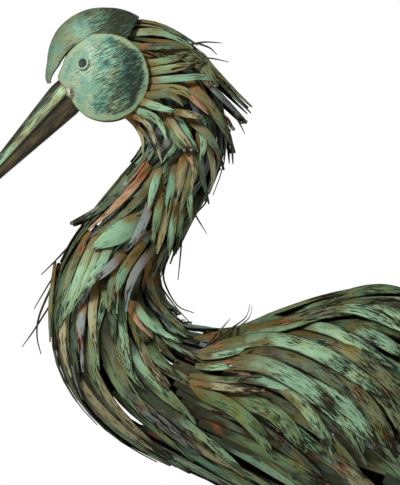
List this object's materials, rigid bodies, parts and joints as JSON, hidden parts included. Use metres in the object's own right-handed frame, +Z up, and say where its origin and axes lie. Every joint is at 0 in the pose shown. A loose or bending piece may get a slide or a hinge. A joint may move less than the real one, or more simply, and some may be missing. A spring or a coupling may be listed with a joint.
{
  "type": "metal heron statue",
  "caption": "Standing garden heron of patinated sheet steel, with a long bill, an S-shaped neck, layered cut feathers and a low base plate.",
  "frame": {"origin": "the middle of the base plate's underside, on the ground", "axes": "+Z up, the bill points along -X and the tail along +X, Y from side to side"},
  "size_m": [0.8699, 0.24, 1.0371],
  "materials": {
    "patinated_feathers": "verdigris paint brushed over with black and rust brown, satin",
    "patinated_head": "pale verdigris paint with black brush strokes, satin",
    "bill_steel": "olive and dark brown stain over steel, satin",
    "weld_metal": "beige patina over a weld",
    "dark_steel": "dark weathered steel with traces of verdigris"
  },
  "bodies": {
    "root": {"base_plate": "dark_steel", "body_feathers_01": "patinated_feathers", "body_feathers_02": "patinated_feathers", "body_feathers_03": "patinated_feathers", "body_feathers_04": "patinated_feathers", "body_feathers_05": "patinated_feathers", "body_feathers_06": "patinated_feathers", "breast_feathers_01": "patinated_feathers", "breast_feathers_02": "patinated_feathers", "breast_feathers_03": "patinated_feathers", "breast_feathers_04": "patinated_feathers", "crest_plumes": "patinated_feathers", "crown_plate": "patinated_head", "left_bill_rivet": "weld_metal", "left_cheek": "patinated_head", "left_eye_ring": "patinated_head", "left_leg": "dark_steel", "lower_bill": "bill_steel", "neck_feathers_01": "patinated_feathers", "neck_feathers_02": "patinated_feathers", "neck_feathers_03": "patinated_feathers", "neck_feathers_04": "patinated_feathers", "neck_feathers_05": "patinated_feathers", "neck_feathers_06": "patinated_feathers", "neck_feathers_07": "patinated_feathers", "neck_feathers_08": "patinated_feathers", "neck_feathers_09": "patinated_feathers", "neck_feathers_10": "patinated_feathers", "neck_feathers_11": "patinated_feathers", "right_bill_rivet": "weld_metal", "right_cheek": "patinated_head", "right_eye_ring": "patinated_head", "right_leg": "dark_steel", "tail_fan": "patinated_feathers", "tail_feathers_01": "patinated_feathers", "tail_feathers_02": "patinated_feathers", "tail_feathers_03": "patinated_feathers", "upper_bill": "bill_steel"}
  },
  "joints": []
}
